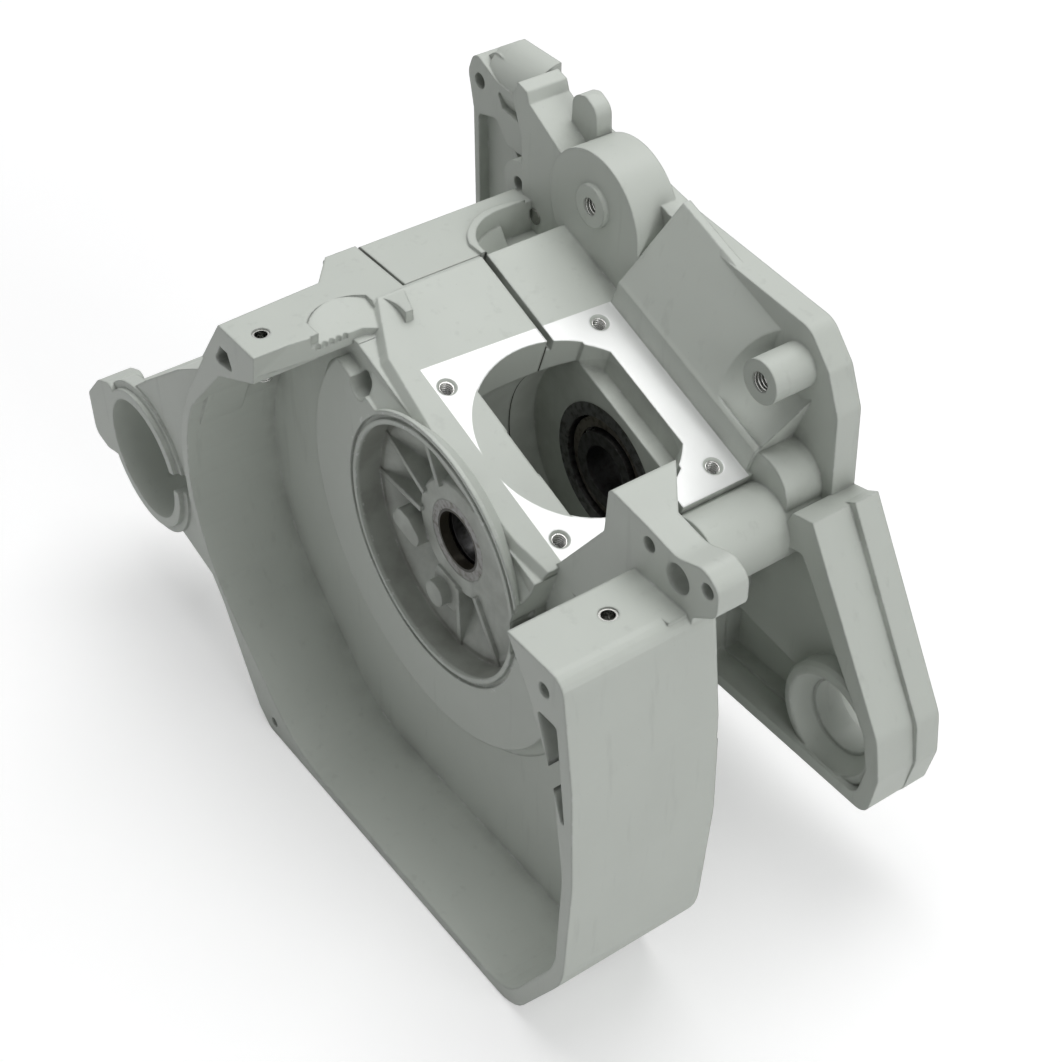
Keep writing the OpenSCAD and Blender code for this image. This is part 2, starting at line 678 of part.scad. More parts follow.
module crankcase_gasket() {
    color([0.25, 0.24, 0.22]) difference() {
        crankcase_section(joint_y - 2, clutch_face_y + 2);
        beyond(joint_y, -1);
        beyond(clutch_face_y, 1);
        rod(0, 0, chamber_r, joint_y - 5, clutch_face_y + 5);
        deck_opening();
        on_deck() translate([deck_rear - 1, joint_y - 6, deck_height - 3])
            cube([deck_front - deck_rear + 2, 12, 6]);
        clutch_tank_room();
        screw_holes(screw_d + 0.6, joint_y - 5, clutch_face_y + 5);
        for (a = dowel_angles) at_polar(screw_r, a) rod(0, 0, dowel_d / 2 + 0.1, joint_y - 5,
            clutch_face_y + 5);
    }
}

// Deep groove ball bearing between the places y0 and y0 + w
function pitch_r(bore, od) = (bore + od) / 4;
function ball_r(bore, od) = (od - bore) * 0.149;
function shoulder(bore, od) = ball_r(bore, od) * 0.62;

module outer_ring(bore, od, w, y0) {
    p = pitch_r(bore, od);
    difference() {
        rod(0, 0, od / 2, y0, y0 + w);
        rod(0, 0, p + shoulder(bore, od), y0 - 1, y0 + w + 1);
        race(p, ball_r(bore, od), y0 + w / 2);
    }
}

module inner_ring(bore, od, w, y0) {
    p = pitch_r(bore, od);
    difference() {
        rod(0, 0, p - shoulder(bore, od), y0, y0 + w);
        rod(0, 0, bore / 2, y0 - 1, y0 + w + 1);
        race(p, ball_r(bore, od), y0 + w / 2);
    }
}

module race(p, r, yc) {
    translate([0, yc, 0]) rotate([-90, 0, 0]) rotate_extrude() translate([p, 0]) circle(r = r + race_play);
}

module ball_set(n, bore, od, w, y0) {
    for (i = [0:n - 1])
        at_polar(pitch_r(bore, od), i * 360 / n) translate([0, y0 + w / 2, 0])
            sphere(r = ball_r(bore, od), $fn = 32);
}

module ball_cage(n, bore, od, w, y0) {
    p = pitch_r(bore, od);
    r = ball_r(bore, od);
    difference() {
        turned([[p - r * 0.38, y0 + w / 2 - r * 1.2], [p + r * 0.38, y0 + w / 2 - r * 1.2],
            [p + r * 0.38, y0 + w / 2 + r * 1.2], [p - r * 0.38, y0 + w / 2 + r * 1.2]]);
        for (i = [0:n - 1])
            at_polar(p, i * 360 / n) translate([-r, y0 + w / 2, 0]) rotate([0, 90, 0])
                cylinder(r = r + pocket_play, h = 2 * r);
    }
}

// Lip seal: pressed case, rubber lip and garter spring, open towards the chamber at y0 + side * w
module seal_case(od, w, y0, side) {
    translate([0, y0, 0]) scale([1, side, 1])
        turned([[od / 2 - 1.2, 0], [od / 2, 0], [od / 2, w], [od / 2 - 3.2, w], [od / 2 - 3.2, w - 1.2],
            [od / 2 - 1.2, w - 1.2]]);
}

module seal_lip(od, shaft, w, y0, side) {
    translate([0, y0, 0]) scale([1, side, 1])
        turned([[od / 2 - 3.22, w], [od / 2 - 3.22, w - 1.2], [od / 2 - 2.2, w - 1.22],
            [od / 2 - 2.2, w - 2.2],
            [shaft / 2 + 1, w - 2], [shaft / 2 + 1.2, w - 3.2], [shaft / 2 + 0.9, w - 4.2],
            [shaft / 2 + lip_play, w - 3.1], [shaft / 2 + 0.5, w]]);
}

module seal_spring(shaft, w, y0, side) {
    translate([0, y0 + side * (w - 3.2), 0]) rotate([-90, 0, 0]) rotate_extrude()
        translate([shaft / 2 + 1.75, 0]) circle(r = 0.5, $fn = 24);
}

module fan_bearing_outer_ring() {
    color(dark_steel)
        outer_ring(journal_d, fan_bearing_od, fan_bearing_width, fan_bearing_y);
}

module fan_bearing_inner_ring() {
    color(steel)
        inner_ring(journal_d, fan_bearing_od, fan_bearing_width, fan_bearing_y);
}

module fan_bearing_balls() {
    color(steel)
        ball_set(fan_balls, journal_d, fan_bearing_od, fan_bearing_width, fan_bearing_y);
}

module fan_bearing_cage() {
    color(dark_steel)
        ball_cage(fan_balls, journal_d, fan_bearing_od, fan_bearing_width, fan_bearing_y);
}

module clutch_bearing_outer_ring() {
    color(dark_steel)
        outer_ring(journal_d, clutch_bearing_od, clutch_bearing_width, clutch_wall_y);
}

module clutch_bearing_inner_ring() {
    color(steel)
        inner_ring(journal_d, clutch_bearing_od, clutch_bearing_width, clutch_wall_y);
}

module clutch_bearing_balls() {
    color(steel)
        ball_set(clutch_balls, journal_d, clutch_bearing_od, clutch_bearing_width, clutch_wall_y);
}

module clutch_bearing_cage() {
    color(dark_steel)
        ball_cage(clutch_balls, journal_d, clutch_bearing_od, clutch_bearing_width, clutch_wall_y);
}

module fan_seal_case() {
    color(steel)
        seal_case(fan_seal_od, fan_seal_width, hub_y + fan_seal_width + 0.1, -1);
}

module fan_seal_lip() {
    color(rubber)
        seal_lip(fan_seal_od, journal_d, fan_seal_width, hub_y + fan_seal_width + 0.1, -1);
}

module fan_seal_spring() {
    color(steel)
        seal_spring(journal_d, fan_seal_width, hub_y + fan_seal_width + 0.1, -1);
}

module clutch_seal_case() {
    color(steel)
        seal_case(clutch_seal_od, clutch_seal_width, clutch_seal_y, 1);
}

module clutch_seal_lip() {
    color(rubber)
        seal_lip(clutch_seal_od, journal_d, clutch_seal_width, clutch_seal_y, 1);
}

module clutch_seal_spring() {
    color(steel)
        seal_spring(journal_d, clutch_seal_width, clutch_seal_y, 1);
}

module crankcase_screws() {
    color(steel) for (a = screw_angles) at_polar(screw_r, a) {
        rod(0, 0, screw_d / 2 - 0.15, screw_seat_y - screw_len, screw_seat_y);
        difference() {
            rod(0, 0, screw_d * 0.8, screw_seat_y, screw_seat_y + screw_d * 0.9);
            translate([0, screw_seat_y + screw_d * 0.45, 0]) rotate([-90, 0, 0]) cylinder(d = 3.4,
                h = 5, $fn = 6);
        }
    }
}

module locating_dowels() {
    color(steel) for (a = dowel_angles)
        at_polar(screw_r, a) rod(0, 0, dowel_d / 2, joint_y - dowel_len / 2 + 0.3,
            joint_y + dowel_len / 2 - 0.3);
}

module insert_sleeve(place, z) {
    translate([place[0], place[1], z - 14]) difference() {
        cylinder(d = insert_d, h = 13.6);
        translate([0, 0, -1]) cylinder(d = insert_d - 1.6, h = 16);
    }
}

module thread_inserts() {
    color([0.85, 0.85, 0.86]) {
        insert_sleeve(roof_insert, roof_height);
        insert_sleeve(block_insert, block_height);
    }
}

module guard_pin() {
    color([0.8, 0.8, 0.8])
        rod(guard_pin_at[0], guard_pin_at[1], 3, guard_face_y - 0.4, guard_face_y + 8 - 0.3);
}

fan_half();
clutch_half();
crankcase_gasket();
fan_bearing_outer_ring();
fan_bearing_inner_ring();
fan_bearing_balls();
fan_bearing_cage();
clutch_bearing_outer_ring();
clutch_bearing_inner_ring();
clutch_bearing_balls();
clutch_bearing_cage();
fan_seal_case();
fan_seal_lip();
fan_seal_spring();
clutch_seal_case();
clutch_seal_lip();
clutch_seal_spring();
crankcase_screws();
locating_dowels();
thread_inserts();
guard_pin();
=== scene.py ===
"""Looks of the chainsaw crankcase: painted castings, milled faces, steel parts, and the studio."""

import math

import bpy
import numpy as np
from mathutils import Matrix, Vector


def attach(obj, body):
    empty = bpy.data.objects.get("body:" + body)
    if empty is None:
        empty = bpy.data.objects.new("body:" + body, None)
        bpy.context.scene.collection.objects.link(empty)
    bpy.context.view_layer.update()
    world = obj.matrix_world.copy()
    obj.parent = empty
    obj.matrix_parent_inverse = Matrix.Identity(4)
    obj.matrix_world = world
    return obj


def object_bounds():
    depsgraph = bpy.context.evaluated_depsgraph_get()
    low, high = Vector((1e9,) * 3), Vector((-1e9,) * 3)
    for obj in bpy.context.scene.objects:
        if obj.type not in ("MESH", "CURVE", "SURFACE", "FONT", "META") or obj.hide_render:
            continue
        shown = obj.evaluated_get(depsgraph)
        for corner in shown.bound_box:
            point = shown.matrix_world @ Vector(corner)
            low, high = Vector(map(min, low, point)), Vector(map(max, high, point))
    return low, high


bl_info = {
    "name": "Chainsaw Crankcase Looks",
    "version": (1, 0, 0),
    "blender": (4, 5, 0),
    "location": "View3D > Sidebar > Crankcase",
    "description": "Finishes, small details and a plain studio for a two-piece die-cast crankcase",
    "category": "Object",
}

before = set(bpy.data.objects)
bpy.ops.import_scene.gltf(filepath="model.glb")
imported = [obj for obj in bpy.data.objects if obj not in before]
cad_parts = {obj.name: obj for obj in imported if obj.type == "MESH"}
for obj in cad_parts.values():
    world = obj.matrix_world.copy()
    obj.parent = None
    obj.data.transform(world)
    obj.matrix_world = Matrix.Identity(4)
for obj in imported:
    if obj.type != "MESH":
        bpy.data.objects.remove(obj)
CAD_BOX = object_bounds()
MM = 0.001
BODY = "crankcase"

# Directions of the leaning cylinder deck, along its slope and out of it, and its height in mm
DECK_TILT = math.radians(19.6)
DECK_ALONG = (math.cos(DECK_TILT), 0.0, -math.sin(DECK_TILT))
DECK_UP = (math.sin(DECK_TILT), 0.0, math.cos(DECK_TILT))
DECK_LEVEL = 40.0

# Borders of the finishes in mm: where a mask is 0, then where it is 1
DECK_UNDER, DECK_OVER = (39.7, 39.9), (40.4, 40.2)
DECK_REAR, DECK_FRONT = (-40.5, -40.2), (41.6, 41.3)
DECK_FAN_SIDE, DECK_CLUTCH_SIDE = (-35.3, -35.0), (39.6, 39.4)
LOWERED_ROUND, LOWERED_SIDE = (35.7, 35.4), (-22.0, -22.6)
CHAMBER_ROUND, CHAMBER_FAN_SIDE, CHAMBER_CLUTCH_SIDE = (41.6, 41.0), (-24.0, -23.4), (40.0, 36.0)
POCKET_ROUND, POCKET_MOUTH, POCKET_FLOOR = (47.5, 44.0), (-50.4, -49.2), (-27.0, -28.0)
POCKET_UNDER_DECK, POCKET_WALL = (39.6, 38.6), (40.0, 44.0)
LIP_INSIDE, LIP_OUTSIDE, LIP_FACE = (44.2, 44.8), (50.6, 50.0), (-48.8, -49.6)

# Slope of the milled deck's rear border: mm along the deck for each mm across it
DECK_REAR_SLOPE = 0.05

# Colours of the painted shade in corners, and of the specks and the oil on the paint
CORNER_SHADE = (0.17, 0.175, 0.16)
SPECKS = (0.16, 0.16, 0.15)
OIL = (0.085, 0.08, 0.065)

# Threads in mm: the deck's holes along its slope and across it, and the mouths of the others
DECK_HOLES = ((-32.5, -30.85), (-32.5, 30.85), (32.5, -30.85), (32.5, 30.85))
INSERT_MOUTHS = {"roof": (-61.0, -73.0, 55.2), "block": (99.0, -55.0, 43.2)}
BOSS_MOUTHS = {"guard": (53.0, 39.5, 62.0), "brake": (-39.0, 42.3, 78.5)}
BOSS_RADII = {"guard": 3.6, "brake": 3.2}

# A thread's ridge in pitches, into the hole's wall and down the hole, and its rings in each turn.
# It grows to its full size over an angle in radians at both ends.
RIDGE = ((0.05, 0.42), (0.05, -0.42), (-0.34, -0.06), (-0.34, 0.06))
RIDGE_RINGS = 28
RIDGE_GROWTH = 2.5
NOT_ALONG_A_HOLE = (0.31, 0.9, 0.27)

# The land's rounding: how deep it sits in the wall and in the floor in mm, the points of its
# quarter circle, its rings, and the angle in radians over which it grows at both ends
SUNK_IN_WALL, SUNK_IN_FLOOR = 0.6, 0.5
ROUNDING_POINTS, ROUNDING_RINGS = 9, 140
ROUNDING_GROWTH = 0.15

# The camera that was solved from the photo: its place in metres and its directions
CAMERA_PLACE = (0.41954, -0.31374, 0.43410)
CAMERA_RIGHT = (0.58638, 0.81004, 0.0)
CAMERA_UP = (-0.52792, 0.38215, 0.75846)
SENSOR_WIDTH = 36.0

# The studio in metres: the floor's first and last ring, its gap under the foot, where its glow
# starts to grow and stops, and the lamps
FLOOR_MIDDLE, FLOOR_EDGE = 0.0005, 6.0
FLOOR_RINGS, FLOOR_POINTS = 12, 64
FLOOR_GAP = 0.2 * MM
GLOW_NEAR, GLOW_FAR = 0.4, 1.6
TOP_LIGHT_PLACE, TOP_LIGHT_SIZE = (-0.25, 0.3, 1.5), 1.3
FRONT_LIGHT_PLACE, FRONT_LIGHT_SIZE = (1.5, 0.1, 0.55), 0.9


class Value:
    """An output of a shader tree that works in expressions: each operator adds a Math node."""

    def __init__(self, net, socket):
        self.net = net
        self.socket = socket

    def _op(self, operation, first, second):
        return self.net.node("ShaderNodeMath", {"operation": operation}, {0: first, 1: second})

    def __add__(self, other):
        return self._op("ADD", self, other)

    def __sub__(self, other):
        return self._op("SUBTRACT", self, other)

    def __rsub__(self, other):
        return self._op("SUBTRACT", other, self)

    def __mul__(self, other):
        return self._op("MULTIPLY", self, other)

    def __truediv__(self, other):
        return self._op("DIVIDE", self, other)

    def __pow__(self, other):
        return self._op("POWER", self, other)

    def __or__(self, other):
        return self._op("MAXIMUM", self, other)

    __radd__ = __add__
    __rmul__ = __mul__


class Net:
    """The node tree of one material or of the world, with one method that adds any node."""

    def __init__(self, owner):
        owner.use_nodes = True
        self.owner = owner
        self.tree = owner.node_tree
        self.tree.nodes.clear()

    def node(self, kind, settings=None, inputs=None, out=0):
        """Adds a node: its settings first, then the values or links of its sockets."""
        made = self.tree.nodes.new(kind)
        for key, value in (settings or {}).items():
            setattr(made, key, value)
        for key, value in (inputs or {}).items():
            socket = made.inputs[key]
            if isinstance(value, Value):
                self.tree.links.new(value.socket, socket)
            else:
                socket.default_value = value
        return Value(self, made.outputs[out]) if len(made.outputs) else None

    def place(self):
        """Object coordinates in metres."""
        return self.node("ShaderNodeTexCoord", out="Object")

    def scaled(self, place, factor):
        """A place multiplied by a number for each axis."""
        return self.node("ShaderNodeVectorMath", {"operation": "MULTIPLY"}, {0: place, 1: factor})

    def along(self, place, direction):
        """The dot product of two vectors: how far a place in metres lies along a direction."""
        return self.node("ShaderNodeVectorMath", {"operation": "DOT_PRODUCT"},
                         {0: place, 1: direction}, "Value")

    def round_crank(self, place):
        """How far a place lies from the crank axis, in metres."""
        x, z = self.along(place, (1, 0, 0)), self.along(place, (0, 0, 1))
        return (x * x + z * z) ** 0.5

    def step(self, value, low, high):
        """0 at low, 1 at high, and a smooth step between."""
        return self.node("ShaderNodeMapRange", {"interpolation_type": "SMOOTHSTEP"},
                         {"Value": value, "From Min": low, "From Max": high})

    def noise(self, place, scale, detail):
        """Fractal noise from 0 to 1, with a scale of blotches a metre."""
        inputs = {"Vector": place, "Scale": scale, "Detail": detail, "Roughness": 0.55}
        return self.node("ShaderNodeTexNoise", None, inputs, "Fac")

    def mix(self, factor, first, second):
        """A colour between two, by a factor."""
        return self.node("ShaderNodeMix", {"data_type": "RGBA"},
                         {"Factor": factor, "A": first, "B": second}, out=2)

    def soft_edges(self, radius):
        """The surface's normal, turned near edges as if they were rounded by a radius in metres."""
        return self.node("ShaderNodeBevel", {"samples": 4}, {"Radius": radius})

    def bump(self, height, distance, strength, normal=None):
        """A normal tilted by a height map, with the height of its relief in metres."""
        inputs = {"Height": height, "Distance": distance, "Strength": strength}
        if normal is not None:
            inputs["Normal"] = normal
        return self.node("ShaderNodeBump", None, inputs)

    def finish(self, colour, roughness, normal, metallic=0.0, coat=0.0, coat_roughness=0.2):
        """Closes the tree with a Principled surface and gives the material."""
        shader = self.node("ShaderNodeBsdfPrincipled", None, {
            "Base Color": colour, "Roughness": roughness, "Normal": normal, "Metallic": metallic,
            "Coat Weight": coat, "Coat Roughness": coat_roughness})
        self.node("ShaderNodeOutputMaterial", None, {"Surface": shader})
        return self.owner


def rgba(colour, times=1.0, plus=0.0):
    """A colour made darker or paler, with full alpha."""
    red, green, blue = (times * part + plus for part in colour)
    return (red, green, blue, 1.0)


def milled_deck(net, place, flat):
    """1 on the bare milled faces of the cylinder deck, from its plane and its borders, else 0."""
    up, along = net.along(place, DECK_UP) / MM, net.along(place, DECK_ALONG) / MM
    y = net.along(place, (0, 1, 0)) / MM
    level = net.step(up, *DECK_UNDER) * net.step(up, *DECK_OVER)
    level = level * net.step(net.along(flat, DECK_UP), 0.97, 0.99)
    ends = net.step(along - DECK_REAR_SLOPE * y, *DECK_REAR) * net.step(along, *DECK_FRONT)
    sides = net.step(y, *DECK_FAN_SIDE) * net.step(y, *DECK_CLUTCH_SIDE)
    centre = (along * along + y * y) ** 0.5
    lowered = net.step(centre, *LOWERED_ROUND) * net.step(y, *LOWERED_SIDE)
    return level * ends * sides * (1 - lowered)


def paint_with_dirt_and_shade(net, place, paint):
    """Paint with broad blotches, painted shade in the corners, dry streaks and specks."""
    blotch = net.noise(place, scale=26, detail=4)
    painted = net.mix(blotch, rgba(paint, 0.94), rgba(paint, 1.05))
    # Painted shade: the paint darkens in noise patches where ambient occlusion finds nearby
    # surfaces, in corners and creases
    open_air = net.node("ShaderNodeAmbientOcclusion", {"samples": 4}, {"Distance": 12 * MM}, "AO")
    patches = net.step(net.noise(place, scale=60, detail=5), 0.3, 0.7)
    corner_shade = (1 - net.step(open_air, 0.25, 0.95)) * patches
    painted = net.mix(corner_shade * 0.6, painted, rgba(CORNER_SHADE))
    upright = net.scaled(place, (1, 1, 0.12))
    streak = net.step(net.noise(upright, scale=210, detail=4), 0.58, 0.74)
    painted = net.mix(streak * 0.16, painted, rgba(paint, 0.55))
    speck = net.step(net.noise(place, scale=1500, detail=2), 0.72, 0.78)
    return net.mix(speck * 0.25, painted, rgba(SPECKS))


def oil_film(net, place, radius, y):
    """How oily the crank chamber and the magneto pocket are, most on the pocket's wall."""
    wet = net.step(net.noise(place, scale=75, detail=5), 0.34, 0.66)
    chamber = net.step(y, *CHAMBER_FAN_SIDE) * net.step(y, *CHAMBER_CLUTCH_SIDE)
    chamber = chamber * net.step(radius, *CHAMBER_ROUND)
    pocket = net.step(y, *POCKET_MOUTH) * net.step(y, *POCKET_FLOOR)
    pocket = pocket * net.step(radius, *POCKET_ROUND)
    pocket = pocket * net.step(net.along(place, DECK_UP) / MM, *POCKET_UNDER_DECK)
    wall = net.step(radius, *POCKET_WALL)
    return chamber * (0.06 + 0.14 * wet) | pocket * (0.06 + 0.26 * wet + 0.4 * wall)


def cast_paint(name, paint, bare):
    """Satin paint on a die casting, with soft edges, orange peel, dirt, painted shade in the
    corners, wear and milled faces.
    """
    net = Net(bpy.data.materials.new(name))
    place = net.place()
    soft = net.soft_edges(1.2 * MM)
    flat = net.node("ShaderNodeNewGeometry", out="True Normal")
    radius, y = net.round_crank(place) / MM, net.along(place, (0, 1, 0)) / MM
    oily = oil_film(net, place, radius, y)
    painted = net.mix(oily, paint_with_dirt_and_shade(net, place, paint), rgba(OIL))

    # Milled faces with the cutter's lines
    deck = milled_deck(net, place, flat)
    lines = net.node("ShaderNodeTexWave", {"wave_type": "BANDS", "bands_direction": "X"},
                     {"Vector": place, "Scale": 900.0, "Distortion": 1.5, "Detail": 2.0}, "Fac")
    cut = net.mix(net.noise(place, scale=70, detail=4), rgba(bare, 0.88), rgba(bare))
    cut = net.mix(lines * 0.14, cut, rgba(bare, 0.7))
    colour = net.mix(deck, painted, cut)

    # Bare metal on worn edges, found where the soft normal leaves the flat one, and on the lip
    edge = net.step(net.along(soft, flat), 0.995, 0.86)
    lip = net.step(radius, *LIP_INSIDE) * net.step(radius, *LIP_OUTSIDE) * net.step(y, *LIP_FACE)
    rubbed = net.step(net.noise(place, scale=160, detail=5), 0.54, 0.66) * (0.7 + 0.3 * lip)
    scratched = lip * net.step(net.noise(place, scale=420, detail=4), 0.62, 0.7)
    worn = edge * rubbed * 0.85 | scratched * 0.6
    colour = net.mix(worn, colour, rgba(bare, 0.9))

    peel, fine = net.noise(place, scale=420, detail=3), net.noise(place, scale=900, detail=2)
    sheen = 0.44 + 0.12 * net.noise(place, scale=90, detail=3)
    rough = sheen - 0.1 * deck - 0.16 * oily
    relief = 0.5 * peel + 0.35 * fine + 0.3 * lines * deck
    normal = net.bump(relief, distance=0.05 * MM, strength=0.6, normal=soft)
    return net.finish(colour, rough, normal, metallic=0.3 * deck, coat=0.1, coat_roughness=0.3)


def turned_steel(name, steel, oil, roughness, lines=1.0):
    """Ground or turned steel: fine rings round the crank axis, oily stains and a light tarnish."""
    net = Net(bpy.data.materials.new(name))
    place = net.place()
    rings = net.node("ShaderNodeTexNoise", {"noise_dimensions": "1D"},
                     {"W": net.round_crank(place) * 9000, "Detail": 2.0}, "Fac")
    stain = 0.15 + 0.7 * net.step(net.noise(place, scale=420, detail=4), 0.4, 0.7)
    colour = net.mix(stain, rgba(steel), rgba(oil))
    colour = net.mix(rings * 0.25 * lines, colour, rgba(steel, 0.7))
    soft = net.soft_edges(0.25 * MM)
    normal = net.bump(rings, distance=0.02 * MM, strength=0.4 * lines, normal=soft)
    rough = roughness + 0.15 * stain + 0.05 * rings
    return net.finish(colour, rough, normal, metallic=0.9)


def seal_rubber(name, rubber):
    """Dark oily rubber with a dusty bloom and moulding grain."""
    net = Net(bpy.data.materials.new(name))
    place = net.place()
    grain = net.noise(place, scale=1600, detail=3)
    bloom = net.step(net.noise(place, scale=150, detail=5), 0.5, 0.72)
    colour = net.mix(bloom * 0.6, rgba(rubber), rgba(rubber, 2.6, 0.02))
    soft = net.soft_edges(0.2 * MM)
    normal = net.bump(grain, distance=0.04 * MM, strength=0.5, normal=soft)
    return net.finish(colour, 0.34 + 0.3 * bloom, normal, coat=0.2)


def gasket_board(name, board):
    """Dark fibre gasket with a matted edge."""
    net = Net(bpy.data.materials.new(name))
    fibre = net.noise(net.scaled(net.place(), (1, 6, 1)), scale=700, detail=4)
    colour = net.mix(fibre, rgba(board, 0.6), rgba(board, 1.5))
    normal = net.bump(fibre, distance=0.08 * MM, strength=0.6)
    return net.finish(colour, 0.85 + 0.1 * fibre, normal)


def bright_steel(name, steel):
    """Bright plated steel with fine turning marks and a few dull spots."""
    net = Net(bpy.data.materials.new(name))
    place = net.place()
    marks = net.noise(net.scaled(place, (1, 1, 14)), scale=500, detail=3)
    dull = net.step(net.noise(place, scale=300, detail=4), 0.5, 0.7)
    colour = net.mix(dull * 0.6, rgba(steel), rgba(steel, 0.5))
    soft = net.soft_edges(0.25 * MM)
    normal = net.bump(marks, distance=0.03 * MM, strength=0.5, normal=soft)
    return net.finish(colour, 0.24 + 0.2 * dull, normal, metallic=1.0)


def paint_nodes(material, *names):
    """Gives CAD nodes one material."""
    for name in names:
        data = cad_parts[name].data
        data.materials.clear()
        data.materials.append(material)


def new_piece(name, points, faces):
    """A smooth mesh object in the scene from its points and faces."""
    data = bpy.data.meshes.new(name)
    data.from_pydata(points, [], faces)
    data.polygons.foreach_set("use_smooth", np.ones(len(data.polygons), bool))
    data.update()
    piece = bpy.data.objects.new(name, data)
    bpy.context.scene.collection.objects.link(piece)
    return piece


def ring_faces(rows, columns):
    """The quads between rings of points that follow each other, each ring a row of a grid."""
    row, column = np.meshgrid(np.arange(rows - 1), np.arange(columns), indexing="ij")
    here, beyond = row * columns, (row + 1) * columns
    after = (column + 1) % columns
    corners = (here + column, here + after, beyond + after, beyond + column)
    return np.stack(corners, axis=-1).reshape(-1, 4)


def carried(name, centre, across, aside, size, profile):
    """A closed body of rings, from a path and a profile that is carried along it.

    A ring's points are centre + size * (a * across + b * aside) for each point (a, b) of the
    profile. The first and the last ring shrink to one point each. The faces are turned outwards by
    the sign of the volume, the sum of one corner of each triangle times the cross product of its
    other two.
    """
    a = (size[:, None] * profile[None, :, 0])[..., None]
    b = (size[:, None] * profile[None, :, 1])[..., None]
    rings = (centre[:, None] + a * across[:, None] + b * aside[:, None])[1:-1]
    rows, columns = rings.shape[:2]
    first_tip, last_tip = rows * columns, rows * columns + 1
    points = np.concatenate([rings.reshape(-1, 3), centre[:1], centre[-1:]])
    quads = ring_faces(rows, columns)
    ring = np.arange(columns)
    after, last = (ring + 1) % columns, (rows - 1) * columns
    first_fan = np.stack([after, ring, np.full(columns, first_tip)], axis=-1)
    last_fan = np.stack([last + ring, last + after, np.full(columns, last_tip)], axis=-1)
    faces = quads.tolist() + first_fan.tolist() + last_fan.tolist()
    one, two, three, four = np.moveaxis(points[quads], 1, 0)
    if np.sum(one * (np.cross(two, three) + np.cross(three, four))) < 0:
        faces = [face[::-1] for face in faces]
    return new_piece(name, points, faces)


def thread_coil(name, mouth, inward, radius, depth, pitch):
    """A cut thread: a helix of the hole's radius down its axis, its ridge thinned at both ends."""
    inward = np.array(inward) / np.linalg.norm(inward)
    side = np.cross(inward, NOT_ALONG_A_HOLE)
    side /= np.linalg.norm(side)
    turn = np.linspace(0.0, 2 * math.pi * depth / pitch, int(RIDGE_RINGS * depth / pitch))
    outward = np.cos(turn)[:, None] * side + np.sin(turn)[:, None] * np.cross(inward, side)
    down = (0.5 * pitch + pitch * turn / (2 * math.pi))[:, None] * inward
    size = np.clip(np.minimum(turn, turn[-1] - turn) / RIDGE_GROWTH, 0.0, 1.0)
    centre = np.array(mouth) + down + radius * outward
    return carried(name, centre * MM, across=outward, aside=np.tile(inward, (len(turn), 1)),
                   size=size, profile=pitch * np.array(RIDGE) * MM)


def round_fillet(name, radius, floor, hollow, start, end):
    """The rounding at the foot of a round step: a hollow quarter circle round the crank axis."""
    bend = np.linspace(math.pi / 2, 0.0, ROUNDING_POINTS)
    curve = hollow * np.stack([1 - np.cos(bend), 1 - np.sin(bend)], axis=-1)
    profile = np.concatenate([[(-SUNK_IN_WALL, -SUNK_IN_FLOOR), (hollow, -SUNK_IN_FLOOR)], curve,
                              [(-SUNK_IN_WALL, hollow)]])
    angle = np.radians(np.linspace(start, end, ROUNDING_RINGS))
    outward = np.stack([np.cos(angle), np.zeros_like(angle), np.sin(angle)], axis=-1)
    from_end = np.minimum(angle - angle[0], angle[-1] - angle)
    size = np.clip(from_end / ROUNDING_GROWTH, 0.0, 1.0) ** 0.5
    centre = outward * radius + np.array((0.0, floor, 0.0))
    return carried(name, centre * MM, across=outward,
                   aside=np.tile((0.0, -1.0, 0.0), (len(angle), 1)),
                   size=size, profile=profile * MM)


def finished(piece, material):
    """Gives a new piece its material and its ride on the castings."""
    piece.data.materials.append(material)
    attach(piece, BODY)


class CrankcaseFinish(bpy.types.PropertyGroup):
    """Colours of the finishes."""

    paint: bpy.props.FloatVectorProperty(
        name="Paint", description="Colour of the satin paint on the castings", subtype="COLOR",
        size=3, min=0.0, max=1.0, default=(0.505, 0.535, 0.492))
    bare: bpy.props.FloatVectorProperty(
        name="Milled metal", description="Colour of the bare milled faces and worn edges",
        subtype="COLOR", size=3, min=0.0, max=1.0, default=(0.80, 0.81, 0.80))
    steel: bpy.props.FloatVectorProperty(
        name="Steel", description="Colour of the ground steel of the bearings", subtype="COLOR",
        size=3, min=0.0, max=1.0, default=(0.20, 0.20, 0.205))
    rubber: bpy.props.FloatVectorProperty(
        name="Rubber", description="Colour of the oil seals", subtype="COLOR",
        size=3, min=0.0, max=1.0, default=(0.030, 0.026, 0.018))


class CrankcaseStudio(bpy.types.PropertyGroup):
    """Camera and light."""

    lens: bpy.props.FloatProperty(
        name="Lens", description="Focal length of the camera on a 36 mm wide sensor",
        subtype="DISTANCE_CAMERA", min=20.0, max=200.0, default=68.08)
    key: bpy.props.FloatProperty(
        name="Top light", description="Power of the large light above", unit="POWER",
        min=0.0, max=200.0, default=16.5)
    front: bpy.props.FloatProperty(
        name="Front light", description="Power of the light ahead of the saw", unit="POWER",
        min=0.0, max=200.0, default=7.5)
    sky: bpy.props.FloatProperty(
        name="Sky", description="Strength of the even light from all sides",
        min=0.0, max=2.0, default=0.30)


class CRANKCASE_OT_castings(bpy.types.Operator):
    """Paints the two castings and finishes the gasket between them"""

    bl_idname = "crankcase.castings"
    bl_label = "Paint the castings"

    def execute(self, context):
        look = context.scene.crankcase_finish
        paint, bare = tuple(look.paint), tuple(look.bare)
        for half in ("fan_half", "clutch_half"):
            paint_nodes(cast_paint(f"{half}_paint", paint, bare), half)
        paint_nodes(gasket_board("gasket_board", board=(0.05, 0.048, 0.04)), "crankcase_gasket")
        return {"FINISHED"}


